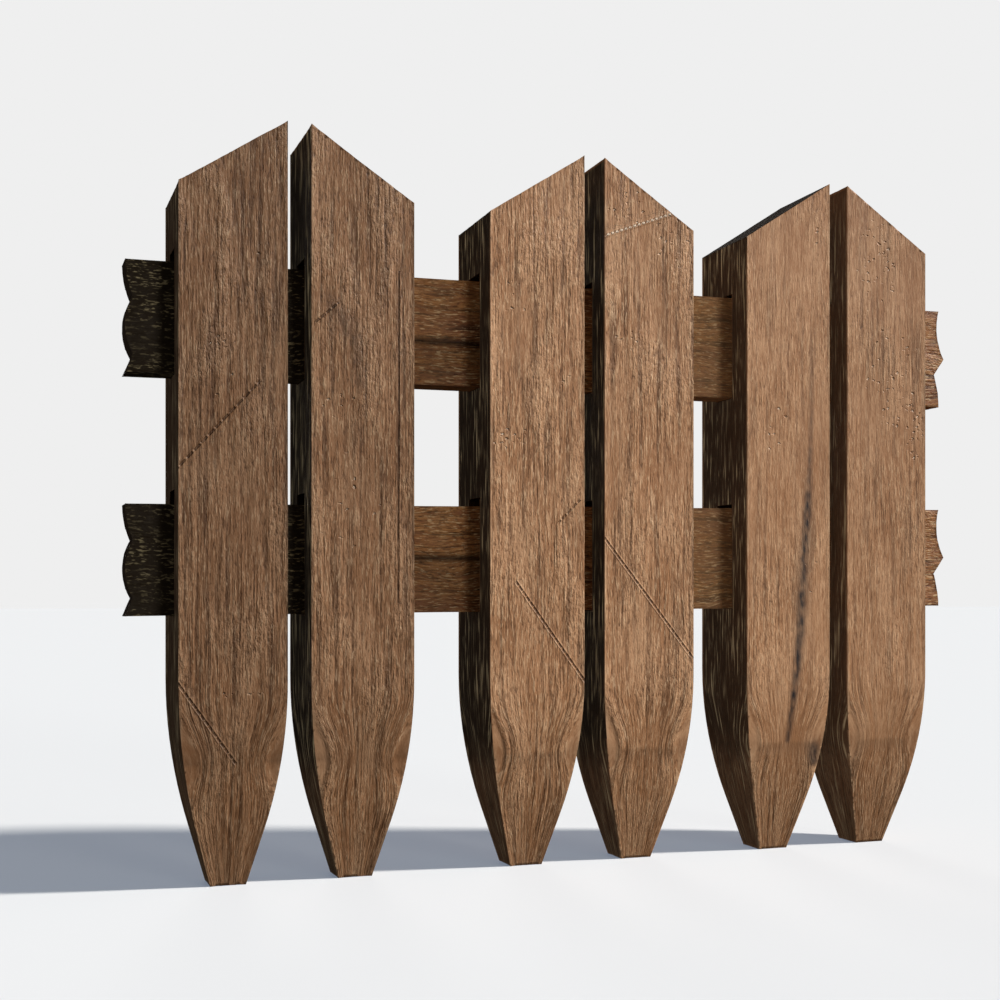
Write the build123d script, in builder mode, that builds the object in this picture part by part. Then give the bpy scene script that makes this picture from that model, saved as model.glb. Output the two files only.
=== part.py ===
# Low wooden garden fence: six square pickets in three pairs, each picket carved to a point at its foot
# and sawn off at a slant on top, with two shaped rails passed through mortises in all of them.
# X runs along the fence, to the right as seen from the front. The front faces -Y, and Z is up.
# The origin is the centre of the flat foot of the first picket.
import os

from build123d import *

# Pickets: square sawn timber
picket_size = 125.0
picket_height = 893.0
top_drop = 81.0
foot_size = 42.0
point_height = 152.0
point_ease = 660.0

# Spacing along the fence, face to face
pair_gap = 28.0
left_bay = 97.0
right_bay = 79.0

# Rails: sawn planks that climb a little to the right and grow a little deeper that way
rail_thickness = 41.4
rail_depth_left = 130.5
rail_depth_right = 136.5
rail_climb = 10.9
upper_seat = 598.0
lower_seat = 317.0

# Left end of a rail: two rounded lobes, with a straight flare below them
left_reach = 55.5
cusp_depth = 8.8
upper_lobe = 42.0
flare = 21.0

# Right end of a rail: a hollow down to a beak, a straight cut back to a notch, and one lobe below it
right_reach = 54.0
beak_reach = 62.6
notch_reach = 46.0
beak_drop = 68.0
notch_drop = 91.0
hollow_sag = 6.9

# Mortises: a little wider than the rail, with level tops that only just clear it at its high end
side_clearance = 0.3
mortise_slack = 0.6

# Centre of each picket along the fence
bays = [left_bay, right_bay, 0.0]
centres = []
x = 0.0
for bay in bays:
    centres += [x, x + picket_size + pair_gap]
    x += 2 * picket_size + pair_gap + bay

half = picket_size / 2
row_left = centres[0] - half
row_right = centres[-1] + half
rail_left = row_left - left_reach
rail_right = row_right + right_reach
mortise_width = rail_thickness + 2 * side_clearance


def underside(seat, x):
    """Height of a rail's lower edge: seat is that height at the left face of the row."""
    return seat + rail_climb * (x - row_left) / (rail_right - rail_left)


def upper_edge(seat, x):
    """Height of a rail's upper edge."""
    share = (x - rail_left) / (rail_right - rail_left)
    return underside(seat, x) + rail_depth_left + (rail_depth_right - rail_depth_left) * share


def carved_outline(plane, top_left, top_right):
    """Outline of a picket on a plane: flat foot, eased flanks of the point, and its top."""
    half_foot = foot_size / 2
    with BuildSketch(plane) as outline:
        with BuildLine():
            Polyline(
                (-half_foot, 0), (half_foot, 0), (half, point_height), (half, top_right),
                (-half, top_left), (-half, point_height), close=True,
            )
        make_face()
        fillet(outline.vertices().group_by(Axis.Y)[1], radius=point_ease)
    return outline.sketch


def make_picket(name, centre, tip_on_right):
    """One picket: its front and side outlines crossed, then mortised for both rails."""
    shoulder = picket_height - top_drop
    top_left, top_right = (shoulder, picket_height) if tip_on_right else (picket_height, shoulder)
    front = carved_outline(Plane.XZ.shift_origin((centre, 0, 0)), top_left, top_right)
    above_tip = picket_height + top_drop
    side = carved_outline(Plane.YZ.offset(centre), above_tip, above_tip)
    with BuildPart() as picket:
        extrude(front, amount=picket_size, both=True)
        extrude(side, amount=picket_size, both=True, mode=Mode.INTERSECT)
        start, end = centre - picket_size, centre + picket_size
        for seat in (upper_seat, lower_seat):
            mortise_top = upper_edge(seat, row_right) + mortise_slack
            with BuildSketch(Plane.XZ):
                with BuildLine():
                    Polyline(
                        (start, underside(seat, start)), (end, underside(seat, end)),
                        (end, mortise_top), (start, mortise_top), close=True,
                    )
                make_face()
            extrude(amount=mortise_width / 2, both=True, mode=Mode.SUBTRACT)
    picket.part.label = name
    export_step(picket.part, f"parts/{name}.step")


def make_rail(name, seat):
    """One rail: a plank on edge, shaped at both ends."""
    top_left = upper_edge(seat, rail_left)
    top_right = upper_edge(seat, rail_right)
    base_left = underside(seat, rail_left)
    base_right = underside(seat, rail_right)
    cusp_x = rail_left + cusp_depth
    upper_cusp = (cusp_x, top_left - upper_lobe)
    lower_cusp = (cusp_x, base_left + flare)
    lobe_crown = (rail_left, (upper_cusp[1] + lower_cusp[1]) / 2)
    beak = (row_right + beak_reach, top_right - beak_drop)
    notch = (row_right + notch_reach, top_right - notch_drop)
    with BuildPart() as rail:
        with BuildSketch(Plane.XZ):
            with BuildLine():
                TangentArc((rail_left, top_left), upper_cusp, tangent=(0, -1))
                ThreePointArc(upper_cusp, lobe_crown, lower_cusp)
                Polyline(lower_cusp, (rail_left, base_left), (rail_right, base_right))
                TangentArc((rail_right, base_right), notch, tangent=(0, 1))
                Line(notch, beak)
                SagittaArc(beak, (rail_right, top_right), hollow_sag)
                Line((rail_right, top_right), (rail_left, top_left))
            make_face()
        extrude(amount=rail_thickness / 2, both=True)
    rail.part.label = name
    export_step(rail.part, f"parts/{name}.step")


os.makedirs("parts", exist_ok=True)
for number, centre in enumerate(centres, start=1):
    make_picket(f"picket_{number}", centre, tip_on_right=number % 2 == 1)
make_rail("upper_rail", upper_seat)
make_rail("lower_rail", lower_seat)
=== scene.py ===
import math

import bmesh
import bpy
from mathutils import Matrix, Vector, kdtree, noise


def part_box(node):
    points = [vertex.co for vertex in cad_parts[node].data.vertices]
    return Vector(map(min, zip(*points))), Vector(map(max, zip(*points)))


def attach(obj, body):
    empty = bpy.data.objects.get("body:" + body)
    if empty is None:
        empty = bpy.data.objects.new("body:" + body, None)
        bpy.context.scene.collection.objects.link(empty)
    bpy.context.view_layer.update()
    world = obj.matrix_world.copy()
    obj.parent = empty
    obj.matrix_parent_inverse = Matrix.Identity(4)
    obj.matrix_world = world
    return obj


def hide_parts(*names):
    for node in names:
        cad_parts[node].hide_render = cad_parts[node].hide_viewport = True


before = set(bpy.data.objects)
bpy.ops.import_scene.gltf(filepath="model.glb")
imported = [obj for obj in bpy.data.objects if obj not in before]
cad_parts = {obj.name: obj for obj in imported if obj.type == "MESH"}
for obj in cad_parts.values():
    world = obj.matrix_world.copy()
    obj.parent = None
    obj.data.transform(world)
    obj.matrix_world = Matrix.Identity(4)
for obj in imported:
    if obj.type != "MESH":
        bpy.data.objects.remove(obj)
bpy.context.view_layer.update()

# Viewpoint
# The photograph's own: a level camera at knee height, off to the left and turned towards the fence,
# with its frame shifted up so that the pickets stay upright.
camera_data = bpy.data.cameras.new("camera")
camera_data.sensor_width = 36.0
camera_data.lens = 50.88
camera_data.shift_y = 0.1003
camera = bpy.data.objects.new("camera", camera_data)
camera.location = (-0.2661, -1.6913, 0.3353)
camera.rotation_euler = (math.radians(90), 0, math.radians(-19.94))
bpy.context.scene.collection.objects.link(camera)
bpy.context.scene.camera = camera
bpy.context.scene.view_settings.view_transform = "Standard"

# Pickets
# Six square posts of sawn softwood, stained brown and left out in the weather. Each is sawn off at a
# slant on top, hewn to a four-sided point at the foot and mortised for the two rails.
MM = 0.001
MERGE = 0.01 * MM
PICKET_GRID = (2.6 * MM, 5.0 * MM, 4.0 * MM)
HALF_PICKET = 62.5 * MM
HALF_FOOT = 21 * MM
POINT_HEIGHT = 152 * MM
EASE = 660 * MM
EASE_BASE = 66.6 * MM
EASE_TOP = 240.5 * MM
SEAM_HEIGHT = 145 * MM
MORTISES = (250 * MM, 780 * MM)
TOPS_FROM = 800 * MM


def divided(node, grid):
    """A bmesh of a CAD node, merged and then cut by planes one grid step apart along each axis."""
    mesh = bmesh.new()
    mesh.from_mesh(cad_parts[node].data)
    bmesh.ops.remove_doubles(mesh, verts=mesh.verts, dist=MERGE)
    bmesh.ops.dissolve_limit(mesh, angle_limit=math.radians(0.2), verts=mesh.verts, edges=mesh.edges)
    low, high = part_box(node)
    for axis in (2, 0, 1):
        normal = Vector((0, 0, 0))
        normal[axis] = 1
        count = round((high[axis] - low[axis]) / grid[axis])
        for step in range(1, count):
            place = Vector(low)
            place[axis] += (high[axis] - low[axis]) * step / count
            geom = mesh.verts[:] + mesh.edges[:] + mesh.faces[:]
            bmesh.ops.bisect_plane(mesh, geom=geom, dist=MERGE, plane_co=place, plane_no=normal)
    mesh.normal_update()
    return mesh


def smooth(low, high, value):
    """0 below low, 1 above high, and an S-curve between."""
    share = min(max((value - low) / (high - low), 0.0), 1.0)
    return share * share * (3 - 2 * share)


def rough(x, y, z, shift=0.0):
    """Smooth noise between about -1 and 1, the same on every run."""
    return noise.noise((x + shift, y + shift, z + shift)) * 1.6


def linear(hex_code):
    """An sRGB hex colour as linear RGBA."""
    channels = [int(hex_code[i:i + 2], 16) / 255 for i in (1, 3, 5)]
    return [c / 12.92 if c <= 0.04045 else ((c + 0.055) / 1.055) ** 2.4 for c in channels] + [1.0]


def add(tree, kind, inputs=None, **settings):
    """Add a node with its settings; inputs are values, or the sockets that feed it."""
    made = tree.nodes.new(kind)
    for key, value in settings.items():
        setattr(made, key, value)
    for key, value in (inputs or {}).items():
        if isinstance(value, bpy.types.NodeSocket):
            tree.links.new(value, made.inputs[key])
        else:
            made.inputs[key].default_value = value
    return made


def new_material(name):
    """An empty node material and its tree."""
    material = bpy.data.materials.new(name)
    material.use_nodes = True
    material.node_tree.nodes.clear()
    return material, material.node_tree


def timber(name, colours, along, flecked, scratch):
    """Sawn softwood under a brown stain gone thin with wear: to the eye, raised grain along one axis,
    darker in its furrows and pale on its crests from wear, with torn patches, chips and saw nicks. Left
    sides and left ends are painted near black, part stain and part painted shade, under pale scratches of
    their own size that are partly painted highlight, and its arrises and some lit bays are paler, part wear
    and part painted light.
    Fibres and pores are finer than a pixel, so they are drawn 1 to 2 mm wide, as coarse as they need to
    show."""
    furrow, middle, pale, bare, side_shade_dark, side_streak_highlight = (linear(code) for code in colours)
    bare_wood_and_highlight = linear("#ffe9cf")
    material, tree = new_material(name)
    values = {}
    for attribute, parts in (
        ("weather", ("stain", "shade", "damp_and_shade")),
        ("surface", ("relief", "dented", "pale_edge_and_bay_light")),
        ("nick", ("run", "off", "beaded")),
    ):
        read = add(tree, "ShaderNodeAttribute", attribute_name=attribute)
        split = add(tree, "ShaderNodeSeparateXYZ", {0: read.outputs["Vector"]})
        values.update(zip(parts, split.outputs))
    grain = add(tree, "ShaderNodeAttribute", attribute_name="grain").outputs["Vector"]
    place = add(tree, "ShaderNodeTexCoord").outputs["Object"]

    # Grain patterns: size across and along the grain in millimetres, detail and roughness
    patterns = {
        "ridge": (5.0, 120, 3, 0.6), "strand": (2.8, 26, 3, 0.65), "fibre": (1.5, 9, 2, 0.65),
        "speck": (1.8, 11, 2, 0.55), "torn": (3.6, 7.5, 3, 0.65), "cloud": (42, 130, 3, 0.55),
        "scratch": (*scratch, 2, 0.6),
    }
    for shift, (key, (across, length, detail, roughness)) in enumerate(patterns.items()):
        scale = [1 / (across * MM)] * 3
        scale[along] = 1 / (length * MM)
        placed = add(tree, "ShaderNodeMapping", {
            "Vector": grain, "Scale": scale, "Location": (7.3 * shift, 3.1 * shift, 5.7 * shift),
        })
        made = add(tree, "ShaderNodeTexNoise", {
            "Vector": placed.outputs[0], "Scale": 1.0, "Detail": detail, "Roughness": roughness,
        })
        values[key] = made.outputs["Fac"]

    # Chips are ragged, 3 to 6 mm across, and show only where the dented attribute lets them. Their pale
    # centres, like the glints of the shiny beads, are painted highlight, partly bare wood.
    ragged = add(tree, "ShaderNodeTexNoise", {"Vector": place, "Scale": 1 / (5 * MM), "Detail": 1.0})
    ragged = add(tree, "ShaderNodeVectorMath", {
        0: ragged.outputs["Color"], 1: (6 * MM, 6 * MM, 6 * MM), 2: place,
    }, operation="MULTIPLY_ADD")
    squat = add(tree, "ShaderNodeMapping", {"Vector": ragged.outputs[0], "Scale": (125, 125, 190)})
    spots = add(tree, "ShaderNodeTexVoronoi", {"Vector": squat.outputs[0], "Scale": 1.0})
    values["spot"] = spots.outputs["Distance"]
    values["chance"] = add(tree, "ShaderNodeSeparateColor", {0: spots.outputs["Color"]}).outputs[0]

    for key, operation, *terms in (
        ("off", "ABSOLUTE", "off"), ("off", "DIVIDE", "off", MM),
        ("shiny", "SUBTRACT", "beaded", 1.0), ("shiny", "MAXIMUM", "shiny", 0.0),
        ("beaded", "MINIMUM", "beaded", 1.0),
        ("bead", "MULTIPLY", "run", math.pi), ("bead", "SINE", "bead"), ("bead", "ABSOLUTE", "bead"),
        ("spare", "SUBTRACT", "dented", "chance"),
        ("body", "MULTIPLY_ADD", "fibre", 0.8, "strand"), ("body", "MULTIPLY_ADD", "cloud", 1.3, "body"),
        ("seen", "MULTIPLY", "relief", 1.7), ("seen", "MINIMUM", "seen", 1.0),
    ):
        inputs = {socket: values.get(term, term) for socket, term in enumerate(terms)}
        values[key] = add(tree, "ShaderNodeMath", inputs, operation=operation).outputs[0]

    # Parts of a value's range, each spread between two ends
    for key, source, low, high, first, last in (
        ("sunk", "ridge", 0.52, 0.34, 0, 1), ("crest", "strand", 0.56, 0.72, 0, 1),
        ("fleck", "speck", 0.56, 0.68, 0, 1), ("pore", "speck", 0.44, 0.33, 0, 1),
        ("patch", "cloud", 0.44, 0.58, 0.15, 1), ("pit", "torn", 0.46, 0.34, 0, 1),
        ("dent", "spot", 0.12, 0.36, 1, 0), ("core_highlight", "spot", 0.06, 0.2, 1, 0),
        ("chipped", "spare", 0, 0.2, 0, 1), ("glint", "bead", 0.45, 0.8, 0, 1),
        ("cut", "off", 0.5, 2.3, 1, 0), ("brow", "off", 1.6, 4.0, 1, 0), ("mouth", "off", 0.4, 2.1, 1, 0),
        ("bead", "bead", 0.1, 0.6, 0, 1), ("frayed", "strand", 0.36, 0.5, 0.35, 1),
        ("tone", "body", 1.25, 1.9, 0, 1), ("streak", "scratch", 0.54, 0.7, 0, 1),
        ("side_streak_share", "strand", 0.58, 0.72, 0, 0.4), ("drift", "cloud", 0.36, 0.6, 0.25, 1),
    ):
        values[key] = add(tree, "ShaderNodeMapRange", {
            "Value": values[source], "From Min": low, "From Max": high, "To Min": first, "To Max": last,
        }, interpolation_type="SMOOTHSTEP").outputs[0]

    # The share of each mark, then the height of the surface in millimetres
    for key, operation, *terms in (
        ("dent", "MULTIPLY", "dent", "chipped"), ("core_highlight", "MULTIPLY", "core_highlight", "chipped"),
        ("bead", "SUBTRACT", "bead", 1.0), ("bead", "MULTIPLY_ADD", "bead", "beaded", 1.0),
        ("bead", "MULTIPLY", "bead", "frayed"), ("cut", "MULTIPLY", "cut", "bead"),
        ("lip", "SUBTRACT", "brow", "mouth"),
        ("glint", "MULTIPLY", "glint", "shiny"), ("glint", "MULTIPLY", "glint", "mouth"),
        ("glint", "MULTIPLY", "glint", "frayed"),
        ("patch", "MULTIPLY", "patch", "seen"), ("pit", "MULTIPLY", "pit", "patch"),
        ("sunk", "MULTIPLY", "sunk", "seen"), ("crest", "MULTIPLY", "crest", "seen"),
        ("fleck", "MULTIPLY", "fleck", "seen"), ("pore", "MULTIPLY", "pore", "seen"),
        ("side_streak_share", "ADD", "side_streak_share", "streak"), ("side_streak_share", "MULTIPLY", "side_streak_share", "drift"),
        ("height", "MULTIPLY", "ridge", 2.1), ("height", "MULTIPLY_ADD", "strand", 1.2, "height"),
        ("torn", "MULTIPLY", "torn", "patch"), ("height", "MULTIPLY_ADD", "torn", 2.1, "height"),
        ("height", "MULTIPLY", "height", "relief"), ("height", "MULTIPLY_ADD", "fibre", 0.3, "height"),
        ("height", "MULTIPLY_ADD", "fleck", 0.2, "height"),
        ("height", "MULTIPLY_ADD", "pore", -0.2, "height"),
        ("height", "MULTIPLY_ADD", "dent", -1.6, "height"),
        ("height", "MULTIPLY_ADD", "cut", -1.1, "height"),
        ("height", "MULTIPLY_ADD", "lip", 0.5, "height"),
        ("height", "MULTIPLY_ADD", "glint", 2.4, "height"),
    ):
        inputs = {socket: values.get(term, term) for socket, term in enumerate(terms)}
        values[key] = add(tree, "ShaderNodeMath", inputs, operation=operation).outputs[0]
    bump = add(tree, "ShaderNodeBump", {"Height": values["height"], "Distance": MM, "Strength": 0.9})

    # Colour, layer on layer: the mark, how strongly it tints, and its colour
    # Pale streaks over the painted shade of the sides, partly scratches and partly painted highlight.
    side_shade_grain = add(tree, "ShaderNodeMix", {
        0: values["side_streak_share"], 6: side_shade_dark, 7: side_streak_highlight,
    }, data_type="RGBA")
    colour = middle
    for mark, strength, tint in (
        ("tone", 1.0, pale), ("sunk", 0.62, furrow), ("crest", 0.3, bare), ("pore", 0.55, furrow),
        ("fleck", flecked, bare), ("pit", 0.5, furrow), ("dent", 0.45, furrow), ("core_highlight", 0.75, bare_wood_and_highlight),
        ("pale_edge_and_bay_light", 0.5, bare), ("cut", 0.75, furrow), ("glint", 0.8, bare_wood_and_highlight),
        ("shade", 1.0, linear("#180b02")),
        ("damp_and_shade", 1.0, side_shade_grain.outputs[2]), ("stain", 1.0, linear("#1b1c21")),
    ):
        share = add(tree, "ShaderNodeMath", {0: values[mark], 1: strength}, operation="MULTIPLY")
        layer = add(tree, "ShaderNodeMix", {0: share.outputs[0], 6: colour, 7: tint}, data_type="RGBA")
        colour = layer.outputs[2]
    shader = add(tree, "ShaderNodeBsdfPrincipled", {
        "Base Color": colour, "Normal": bump.outputs[0], "Roughness": 0.5, "Specular IOR Level": 0.17,
    })
    add(tree, "ShaderNodeOutputMaterial", {"Surface": shader.outputs[0]})
    return material


picket_timber = timber(
    "stained_softwood_post", ("#4a2c17", "#a1734f", "#c39772", "#ecc9a2", "#2b231b", "#d0c29e"),
    along=2, flecked=0.4, scratch=(4.0, 60))


def end_grain(name):
    """Sawn end grain: to the eye, near black, with faint growth rings about 6 mm apart round the pith, and
    the grit of the saw cut."""
    material, tree = new_material(name)
    place = add(tree, "ShaderNodeTexCoord").outputs["Object"]
    pith = add(tree, "ShaderNodeAttribute", attribute_name="pith").outputs["Vector"]
    rings = add(tree, "ShaderNodeTexWave", {
        "Vector": pith, "Scale": math.pi / 10 / (6 * MM),
        "Distortion": 5.0, "Detail": 1.0, "Detail Scale": 0.6,
    }, wave_type="RINGS", rings_direction="SPHERICAL")
    grit = add(tree, "ShaderNodeTexNoise", {"Vector": place, "Scale": 1 / (2.5 * MM), "Detail": 3.0})
    tone = add(tree, "ShaderNodeMath", {
        0: rings.outputs["Fac"], 1: grit.outputs["Fac"],
    }, operation="MULTIPLY")
    colour = add(tree, "ShaderNodeMix", {
        0: tone.outputs[0], 6: linear("#1a130d"), 7: linear("#5a442f"),
    }, data_type="RGBA")
    bump = add(tree, "ShaderNodeBump", {"Height": tone.outputs[0], "Distance": 0.6 * MM})
    shader = add(tree, "ShaderNodeBsdfPrincipled", {
        "Base Color": colour.outputs[2], "Normal": bump.outputs[0],
        "Roughness": 0.75, "Specular IOR Level": 0.25,
    })
    add(tree, "ShaderNodeOutputMaterial", {"Surface": shader.outputs[0]})
    return material


post_end = end_grain("post_end_grain")

# How dark and how rough each picket has weathered, how near black its left side is painted, part stain and
# part painted shade, and the marks on its front face in millimetres: rows of saw nicks as (start, end,
# pitch), chipped patches as (centre, half width, half height, share), and dark streaks as their points,
# each with its half width and strength.
# A row of nicks with the pitch PLAIN is one scored line, and one under SHINY is a row of shiny beads.
PLAIN = 500
SHINY = 7
NO_NICK = (0.0, 0.1, 0.0)
PICKETS = {
    "picket_1": {
        "shade": 0.5, "relief": 1.0, "damp_and_shade": 0.7,
        "nicks": [((26.5, 584.9), (-60.8, 488.6), 12), ((-60.8, 237.1), (0.1, 150.9), 8)],
        "chips": [((12, 227), 26, 7, 0.8), ((-22, 610), 26, 45, 0.35), ((35, 710), 16, 40, 0.3)],
        "streaks": [],
    },
    "picket_2": {
        "shade": 0.38, "relief": 1.0, "damp_and_shade": 1.0,
        "nicks": [((100.4, 666.1), (122.0, 685.2), 9), ((196.2, 722), (195.2, 335.7), PLAIN)],
        "chips": [((130, 565), 26, 14, 0.5), ((135, 450), 40, 60, 0.2)],
        "streaks": [
            [(112, 690, 10, 0.25), (128, 668, 14, 0.42), (146, 640, 11, 0.42), (150, 592, 8, 0.35)],
        ],
    },
    "picket_3": {
        "shade": 0.04, "relief": 0.9, "damp_and_shade": 0.96,
        "nicks": [((349.7, 352.9), (436.8, 235.4), 8), ((427.2, 457.0), (405.6, 435.3), 10)],
        "chips": [((331, 710), 12, 25, 0.55), ((418, 604), 14, 14, 0.6), ((338, 535), 22, 16, 0.6),
                  ((385, 690), 30, 30, 0.15)],
        "streaks": [],
    },
    "picket_4": {
        "shade": 0.02, "relief": 0.75, "damp_and_shade": 0.99,
        "nicks": [((466.9, 411.3), (588.2, 262.2), 8), ((466.9, 795.6), (566.0, 833.6), 6.6)],
        "chips": [((500, 835), 30, 25, 0.6), ((560, 800), 26, 28, 0.55), ((493, 665), 18, 14, 0.8)],
        "streaks": [],
    },
    "picket_5": {
        "shade": 0.0, "relief": 0.45, "damp_and_shade": 0.88,
        "nicks": [],
        "chips": [((715, 560), 24, 30, 0.35), ((760, 360), 20, 60, 0.2), ((772, 822), 14, 16, 0.45)],
        "streaks": [
            [(768.6, 720, 3, 0.0), (768.6, 640, 3, 0.35), (763.5, 500, 4.5, 0.75), (760, 455, 7, 0.95),
             (755, 380, 8, 0.9), (749, 290, 8, 0.95), (741, 215, 6, 0.95), (733.4, 150, 4, 0.85)],
            [(774, 138, 9, 1.0), (777, 121, 9, 1.0)],
        ],
    },
    "picket_6": {
        "shade": 0.07, "relief": 0.45, "damp_and_shade": 0.76,
        "nicks": [],
        "chips": [((870, 790), 30, 60, 0.6), ((895, 640), 40, 70, 0.5), ((930, 570), 14, 50, 0.85)],
        "streaks": [],
    },
}


def finished(name, mesh, materials, node):
    """The object of a finished bmesh, riding on the fence in place of its CAD node."""
    data = bpy.data.meshes.new(name)
    mesh.to_mesh(data)
    mesh.free()
    data.shade_smooth()
    data.set_sharp_from_angle(angle=math.radians(38))
    for material in materials:
        data.materials.append(material)
    piece = bpy.data.objects.new(name, data)
    bpy.context.scene.collection.objects.link(piece)
    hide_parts(node)
    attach(piece, "root")


def dressed(mesh):
    """The attribute layers that the timber and its end grain read, on a bmesh's vertices."""
    names = ("grain", "weather", "surface", "nick", "pith")
    return [mesh.verts.layers.float_vector.new(name) for name in names]


def flank(z):
    """Half width of a picket at a height: the flanks of its point, the arc that eases them, its shaft."""
    if z > EASE_TOP:
        return HALF_PICKET
    if z > EASE_BASE:
        return HALF_PICKET - EASE + math.sqrt(EASE ** 2 - (EASE_TOP - z) ** 2)
    return HALF_FOOT + (HALF_PICKET - HALF_FOOT) * z / POINT_HEIGHT


def grain_reach(z):
    """Half width of the grain on a picket's face: drawn in at the seam above the point, where the sides
    of the face stay smooth, and following the flanks below it."""
    waist = 0.6 * HALF_PICKET
    if z > SEAM_HEIGHT:
        return waist + (HALF_PICKET - waist) * smooth(SEAM_HEIGHT, SEAM_HEIGHT + 80 * MM, z)
    return flank(z) + (waist - flank(z)) * smooth(70 * MM, SEAM_HEIGHT, z)


for order, (node, marks) in enumerate(PICKETS.items()):
    mesh = divided(node, PICKET_GRID)
    low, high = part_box(node)
    centre = (low[0] + high[0]) / 2
    grain, weather, surface, nick, pith = dressed(mesh)
    mesh.verts.index_update()
    mesh.verts.ensure_lookup_table()
    front = kdtree.KDTree(len(mesh.verts))
    depths = []
    for vert in mesh.verts:
        x, y, z = vert.co
        if vert.normal.y < -0.4:
            front.insert((x, 0, z), vert.index)
        half, reach = flank(z), grain_reach(z)
        spread = [c * HALF_PICKET / reach for c in (x - centre, y)]
        flat_x, flat_y = (
            c if abs(c) < HALF_PICKET else math.copysign(HALF_PICKET + 0.3 * (abs(c) - HALF_PICKET), c)
            for c in spread)
        if abs(vert.normal.x) > abs(vert.normal.y) + 0.1:
            flat_x, across = math.copysign(HALF_PICKET, x - centre), y
        elif abs(vert.normal.y) > abs(vert.normal.x) + 0.1:
            flat_y, across = math.copysign(HALF_PICKET, y), x - centre
        else:
            flat_x, flat_y = math.copysign(HALF_PICKET, x - centre), math.copysign(HALF_PICKET, y)
            across = half
        place = Vector((centre + flat_x, flat_y, z))
        vert[grain] = place + Vector((0, 0, order * 1.3))
        vert[pith] = (x - centre + (18 - 7 * order) * MM, y + (5 * order - 20) * MM, 0)
        smooth_side = smooth(0.95, 1.2, abs(across) / reach) * smooth(0.25, 0.19, z)
        patch = 0.8 + 0.4 * rough(x / 0.05, y / 0.05, z / 0.11, order * 3.7)
        relief = marks["relief"] * max(patch, 0.1) * (1 - 0.9 * smooth_side)
        relief += 0.3 * smooth(SEAM_HEIGHT, SEAM_HEIGHT - 30 * MM, z)
        seam = smooth(20 * MM, 2 * MM, z - SEAM_HEIGHT) if z > SEAM_HEIGHT else -0.35
        in_mortise = max(abs(x - centre), abs(y)) < half - 0.4 * MM and MORTISES[0] < z < MORTISES[1]
        below = smooth(SEAM_HEIGHT + 2 * MM, SEAM_HEIGHT - 2 * MM, z)
        shade = marks["shade"] * (1 - 0.4 * below) + 0.06 * below
        shade += 0.2 * below * smooth(SEAM_HEIGHT - 30 * MM, SEAM_HEIGHT, z) * (1 - marks["shade"])
        shade += 0.16 * seam * smooth_side * (1 - marks["shade"])
        # Painted shade: the sunlit right sides darker than the fronts, and the insides of the mortises near
        # black.
        shade += 0.35 * (1 - shade) * smooth(0.5, 0.9, vert.normal.x)
        shade = 0.92 if in_mortise else shade
        # Painted shade: left sides darkened towards near black, part stain.
        damp_and_shade = marks["damp_and_shade"] * smooth(-0.3, -0.8, vert.normal.x) * smooth(0.75, 0.45, abs(vert.normal.y))
        damp_and_shade *= 1 - 0.3 * smooth(0.17, 0.1, z)
        edge = max(half - abs(x - centre), half - abs(y))
        # Paler along the arrises, part wear and part painted highlight.
        pale_edge_and_bay_light = smooth(3.2 * MM, 0.6 * MM, edge) * (0.3 + 0.5 * rough(x / 0.03, y / 0.03, z / 0.03, 5.0))
        vert[weather] = (0.0, max(shade, 0.0), damp_and_shade)
        vert[surface] = (0.0, 0.0, 0.0) if in_mortise else (relief, 0.0, max(pale_edge_and_bay_light, 0.0))
        vert[nick] = NO_NICK
        broad = rough(place.x / 0.06, place.y / 0.06, place.z / 0.22)
        furrow = rough(place.x / 0.009, place.y / 0.009, place.z / 0.16, 4.0)
        depth = (0.3 * (1 + broad) + 0.25 * (1 + furrow)) * marks["relief"] * (1 - 0.8 * smooth_side)
        depths.append(max(depth, 0.0) * smooth(0.0, 7 * MM, edge))
    front.balance()
    for (at_x, at_z), wide, tall, share in marks["chips"]:
        for place, index, away in front.find_range((at_x * MM, 0, at_z * MM), 2 * max(wide, tall) * MM):
            spread = math.hypot((place[0] / MM - at_x) / wide, (place[2] / MM - at_z) / tall)
            vert = mesh.verts[index]
            vert[surface].y = max(vert[surface].y, share * smooth(1.3, 0.7, spread))
    for start, end, pitch in marks["nicks"]:
        beads = 0.0 if pitch == PLAIN else 2.0 if pitch < SHINY else 1.0
        run, rise = end[0] - start[0], end[1] - start[1]
        length = math.hypot(run, rise)
        for step in range(0, int(length), 4):
            x, z = start[0] + run * step / length, start[1] + rise * step / length
            for place, index, away in front.find_range((x * MM, 0, z * MM), 9 * MM):
                from_x, from_z = place[0] - start[0] * MM, place[2] - start[1] * MM
                along = (from_x * run + from_z * rise) / length
                off = (from_x * rise - from_z * run) / length
                mesh.verts[index][nick] = (along / (pitch * MM), off, beads)
    for streak in marks["streaks"]:
        for (x, z, wide, strength), (end_x, end_z, end_wide, end_strength) in zip(streak, streak[1:]):
            steps = max(int(math.hypot(end_x - x, end_z - z) / 3), 1)
            for step in range(steps + 1):
                share = step / steps
                at_x, at_z = x + (end_x - x) * share, z + (end_z - z) * share
                size = wide + (end_wide - wide) * share
                for place, index, away in front.find_range((at_x * MM, 0, at_z * MM), 2.5 * size * MM):
                    vert = mesh.verts[index]
                    stained = strength + (end_strength - strength) * share
                    stained *= math.exp(-(away / (size * MM)) ** 2)
                    stained *= 0.85 + 0.35 * rough(place[0] / 0.004, order, place[2] / 0.012)
                    vert[weather].x = max(vert[weather].x, min(stained, 1.0))
    for face in mesh.faces:
        height = face.calc_center_median().z
        face.material_index = int(face.normal.z > 0.4 and height > TOPS_FROM or height < 0.1 * MM)
    for vert, depth in zip(mesh.verts, depths):
        vert.co -= vert.normal * depth * MM
    finished(node + "_post", mesh, [picket_timber, post_end], node)
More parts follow.
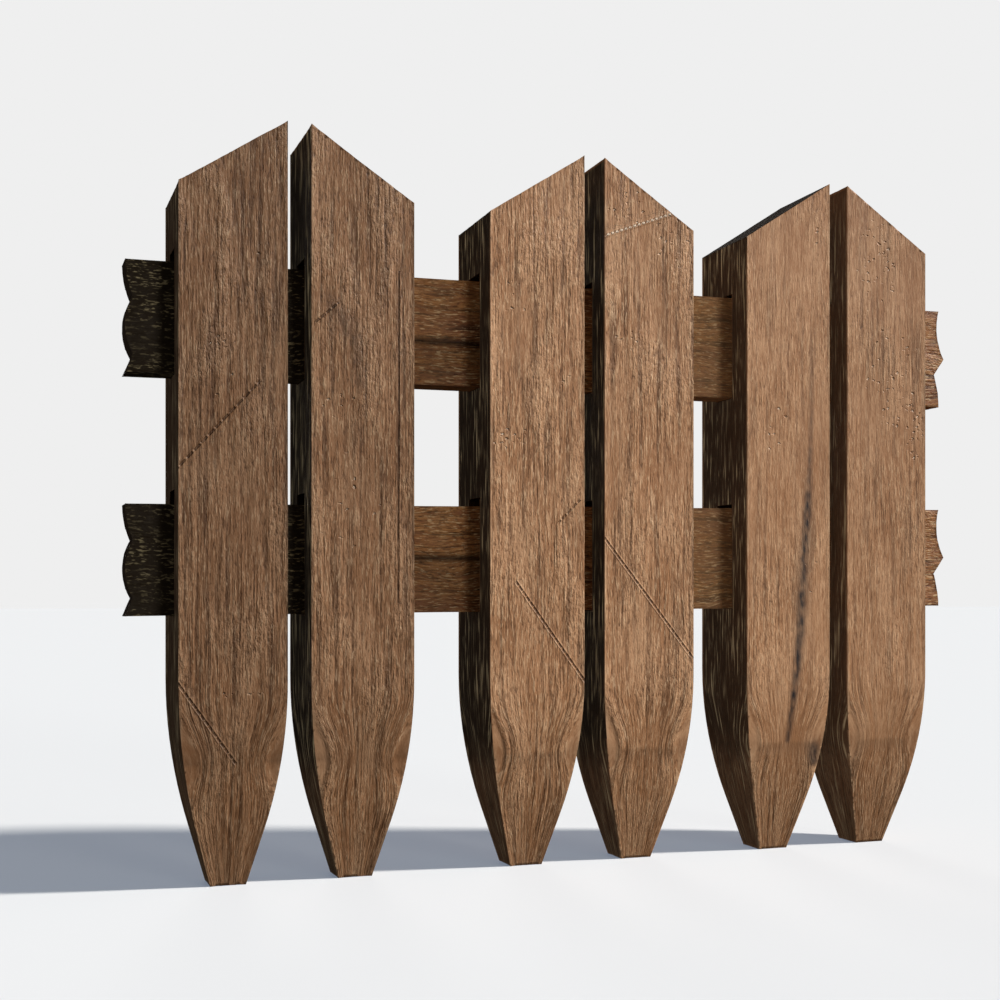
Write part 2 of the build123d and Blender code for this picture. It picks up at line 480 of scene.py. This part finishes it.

# Rails
# Two planks on edge of the same stained softwood, passed through the pickets' mortises, with their ends
# sawn to a pattern. A weather check runs along each in the left bay, and the left ends are painted near
# black, a painted shadow of the first picket.
RAIL_GRID = (4.0 * MM, 4.2 * MM, 3.2 * MM)
RAIL_CHECKS = {"upper_rail": 659 * MM, "lower_rail": 391 * MM}
CHECK_START = 200 * MM
CHECK_END = 330 * MM
CHECK_FADE = 20 * MM
PAINTED_SHADOW_END = 110 * MM
PAINTED_SHADOW_FADE = 20 * MM
PLANK_ENDS = (-70 * MM, 960 * MM)
rail_timber = timber(
    "stained_softwood_plank", ("#2a170a", "#935d38", "#c2884f", "#f4d3a2", "#352a1c", "#b5a67f"),
    along=0, flecked=0.75, scratch=(2.6, 9))
plank_end = end_grain("plank_end_grain")
for order, (node, check) in enumerate(RAIL_CHECKS.items()):
    mesh = divided(node, RAIL_GRID)
    grain, weather, surface, nick, pith = dressed(mesh)
    depths = []
    for vert in mesh.verts:
        x, y, z = vert.co
        sway = 0.004 * rough(x / 0.06, y / 0.1, z / 0.05, order * 5.3)
        vert[grain] = (x, y, z + sway)
        vert[pith] = (0, y + 45 * MM, z - check)
        inside = smooth(CHECK_START, CHECK_START + CHECK_FADE, x)
        inside *= smooth(CHECK_END, CHECK_END - CHECK_FADE, x)
        lower = smooth(check + 0.004, check - 0.006, z) * inside
        dark = 0.6 * smooth(7 * MM, 1.5 * MM, abs(z - check + 3 * MM)) * inside + 0.3 * lower
        # Painted shade: the sunlit right ends darker.
        dark = max(dark, 0.3 * smooth(0.93, 0.955, x))
        # Painted light: the lit parts of two bays made paler.
        painted_bay_light = 0.35 * smooth(0.585, 0.595, x) * smooth(0.68, 0.67, x)
        painted_bay_light += 0.15 * smooth(0.205, 0.215, x) * smooth(0.29, 0.26, x)
        # Painted shadow: the left ends near black.
        vert[weather] = (0.0, dark, smooth(PAINTED_SHADOW_END + PAINTED_SHADOW_FADE, PAINTED_SHADOW_END, x))
        relief = 0.9 + 0.4 * rough(x / 0.05, y / 0.05, z / 0.03, order * 2.9)
        relief *= smooth(-0.9, -0.5, vert.normal.z)
        vert[surface] = (relief, 0.0, painted_bay_light)
        vert[nick] = NO_NICK
        broad = rough(x / 0.2, y / 0.05, z / 0.05)
        ridge = rough(x / 0.07, y / 0.008, z / 0.008, 4.0)
        depth = 0.4 * (1 + broad) + 0.25 * (1 + ridge)
        if abs(vert.normal.y) > 0.5:
            depth += 2.2 * smooth(7 * MM, 1 * MM, abs(z - check + 2 * MM)) * inside
        depths.append(max(depth, 0.0))
    for face in mesh.faces:
        place = face.calc_center_median().x
        face.material_index = int(abs(face.normal.x) > 0.5 and not PLANK_ENDS[0] < place < PLANK_ENDS[1])
    for vert, depth in zip(mesh.verts, depths):
        vert.co -= vert.normal * depth * MM
    finished(node + "_plank", mesh, [rail_timber, plank_end], node)

# Floor and light
# A plain pale floor that runs into the backdrop and glows a little as a painted skylight, as blue as the
# shadow on it, a low soft sun from the right, weak lights from the front right, the left and behind, and a
# dim warm sky that shows in no reflection.
floor_mesh = bmesh.new()
bmesh.ops.create_grid(floor_mesh, x_segments=1, y_segments=1, size=60)
floor_data = bpy.data.meshes.new("floor")
floor_mesh.to_mesh(floor_data)
floor_mesh.free()
floor_paint, tree = new_material("pale_floor_paint")
matt = add(tree, "ShaderNodeBsdfDiffuse", {"Color": (0.603, 0.602, 0.585, 1)})
painted_skylight = add(tree, "ShaderNodeEmission", {"Color": (0.131, 0.166, 0.226, 1)})
both = add(tree, "ShaderNodeAddShader", {0: matt.outputs[0], 1: painted_skylight.outputs[0]})
add(tree, "ShaderNodeOutputMaterial", {"Surface": both.outputs[0]})
floor_paint.cycles.emission_sampling = "NONE"
floor_data.materials.append(floor_paint)
floor = bpy.data.objects.new("floor", floor_data)
bpy.context.scene.collection.objects.link(floor)
floor.visible_diffuse = False
floor.visible_glossy = False

# Lamps: where each stands round the fence and how high, in degrees, its strength and its spread. The light
# from the left casts no shadow, so that the first picket doesn't put the others' sides in the dark.
for name, turn, lift, power, size in (
    ("sun", 21.0, 35.0, 5.5, 5.0), ("front_light", 66.0, 8.0, 0.65, 16.0),
    ("left_light", 182.0, 9.0, 0.42, 20.0), ("back_light", -80.0, 9.0, 1.1, 20.0),
):
    lamp_data = bpy.data.lights.new(name, "SUN")
    lamp_data.energy = power
    lamp_data.color = (1.0, 0.97, 0.93)
    lamp_data.angle = math.radians(size)
    lamp_data.use_shadow = name != "left_light"
    lamp = bpy.data.objects.new(name, lamp_data)
    level = math.cos(math.radians(lift))
    travel = Vector((-math.cos(math.radians(turn)) * level, math.sin(math.radians(turn)) * level,
                     -math.sin(math.radians(lift))))
    lamp.rotation_euler = travel.to_track_quat("-Z", "Y").to_euler()
    bpy.context.scene.collection.objects.link(lamp)

world = bpy.data.worlds.new("sky")
world.use_nodes = True
world.node_tree.nodes.clear()
tree = world.node_tree
path = add(tree, "ShaderNodeLightPath")
backdrop = add(tree, "ShaderNodeBackground", {"Color": linear("#EFEFEF")})
sky = add(tree, "ShaderNodeBackground", {"Color": (0.115, 0.11, 0.105, 1)})
seen = add(tree, "ShaderNodeMixShader", {
    0: path.outputs["Is Camera Ray"], 1: sky.outputs[0], 2: backdrop.outputs[0],
})
add(tree, "ShaderNodeOutputWorld", {"Surface": seen.outputs[0]})
world.cycles_visibility.glossy = False
bpy.context.scene.world = world
